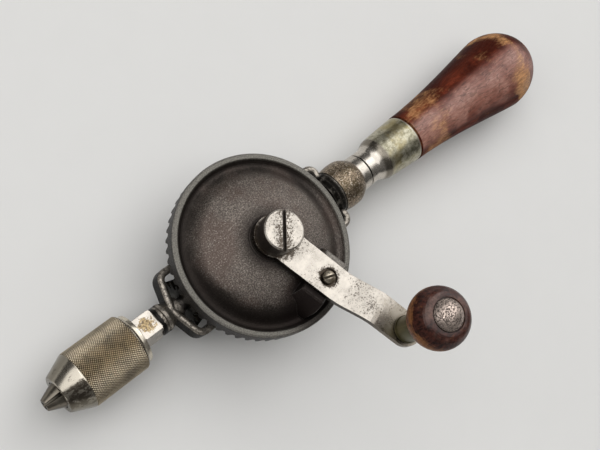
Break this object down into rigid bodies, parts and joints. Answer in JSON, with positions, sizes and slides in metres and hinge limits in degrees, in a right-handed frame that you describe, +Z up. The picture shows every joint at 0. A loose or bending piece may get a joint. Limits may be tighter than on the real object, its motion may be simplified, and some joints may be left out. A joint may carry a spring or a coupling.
{
  "type": "hand drill",
  "caption": "Eggbeater hand drill: a cranked bevel wheel turns a spindle with a knurled three-jaw chuck, on a cast loop frame with a turned wooden handle and crank knob.",
  "frame": {"origin": "centre of the chuck's mouth, in the plane of the jaw tips", "axes": "+X runs along the spindle from the chuck to the handle, +Z runs up along the axle of the large wheel towards the crank, +Y completes the right-handed frame"},
  "size_m": [0.28, 0.1089, 0.0913],
  "materials": {
    "cast_frame": "worn black over cast iron",
    "steel": "plain turned steel",
    "brown_steel": "browned and pitted",
    "nickel": "polished nickel plate",
    "ferrule_nickel": "dulled yellowish nickel plate",
    "handle_wood": "worn red-brown varnish",
    "gear_steel": "dark oiled teeth",
    "black_steel": "blackened",
    "shell_nickel": "knurled, yellowed nickel plate",
    "jaw_steel": "grey tool steel",
    "wheel_iron": "grainy brown-grey with a worn rim",
    "hub_steel": "bright worn face, dark side",
    "crank_nickel": "bright nickel with dark pits",
    "screw_steel": "dull steel",
    "rivet_steel": "pitted steel",
    "knob_wood": "dark red-brown varnish",
    "olive_brass": "olive tarnish"
  },
  "bodies": {
    "frame_body": {"frame": "cast_frame", "tang": "steel", "rear_collar": "brown_steel", "neck_ring": "nickel", "ferrule": "ferrule_nickel", "handle": "handle_wood"},
    "wheel_body": {"main_gear": "wheel_iron", "main_axle": "steel", "gear_washer": "steel", "axle_washer": "steel", "axle_nut": "steel", "hub_screw": "hub_steel", "crank_arm": "crank_nickel", "crank_screw": "screw_steel", "knob_rivet": "rivet_steel"},
    "knob_body": {"crank_knob": "knob_wood", "knob_ferrule": "olive_brass"},
    "spindle_body": {"spindle": "steel", "pinion": "gear_steel", "pinion_pin": "steel", "thrust_washer": "black_steel", "chuck_body": "nickel"},
    "carrier_body": {"jaw_carrier": "steel", "jaw_springs": "steel"},
    "shell_body": {"chuck_shell": "shell_nickel"},
    "jaw_1_body": {"jaw_1": "jaw_steel"},
    "jaw_2_body": {"jaw_2": "jaw_steel"},
    "jaw_3_body": {"jaw_3": "jaw_steel"}
  },
  "joints": [
    {"name": "wheel_turn", "type": "hinge", "parent": "frame_body", "child": "wheel_body", "pos_m": [0.1014, 0, 0], "axis": [0, 0, 1], "continuous": true},
    {"name": "knob_spin", "type": "hinge", "parent": "wheel_body", "child": "knob_body", "pos_m": [0.1202, -0.05929, 0.05], "axis": [0, 0, 1], "continuous": true},
    {"name": "spindle_turn", "type": "hinge", "parent": "frame_body", "child": "spindle_body", "pos_m": [0.06, 0, 0], "axis": [1, 0, 0], "continuous": true},
    {"name": "chuck_turn", "type": "hinge", "parent": "spindle_body", "child": "carrier_body", "pos_m": [0.02, 0, 0], "axis": [1, 0, 0], "range_deg": [0, 1080]},
    {"name": "shell_travel", "type": "slide", "parent": "carrier_body", "child": "shell_body", "axis": [-1, 0, 0], "range_m": [0, 0.00381]},
    {"name": "jaw_1_slide", "type": "slide", "parent": "carrier_body", "child": "jaw_1_body", "axis": [0, -0.866, 0.5], "range_m": [0, 0.0017], "deforming": ["jaw_springs"]},
    {"name": "jaw_2_slide", "type": "slide", "parent": "carrier_body", "child": "jaw_2_body", "axis": [0, 0, -1], "range_m": [0, 0.0017]},
    {"name": "jaw_3_slide", "type": "slide", "parent": "carrier_body", "child": "jaw_3_body", "axis": [0, 0.866, 0.5], "range_m": [0, 0.0017]}
  ],
  "couplings": [
    {"joint": "spindle_turn", "follows": "wheel_turn", "ratio": 4},
    {"joint": "chuck_turn", "follows": "shell_travel", "rad_per_m": 4947.3},
    {"joint": "jaw_1_slide", "follows": "shell_travel", "ratio": 0.44523},
    {"joint": "jaw_2_slide", "follows": "shell_travel", "ratio": 0.44523},
    {"joint": "jaw_3_slide", "follows": "shell_travel", "ratio": 0.44523}
  ]
}
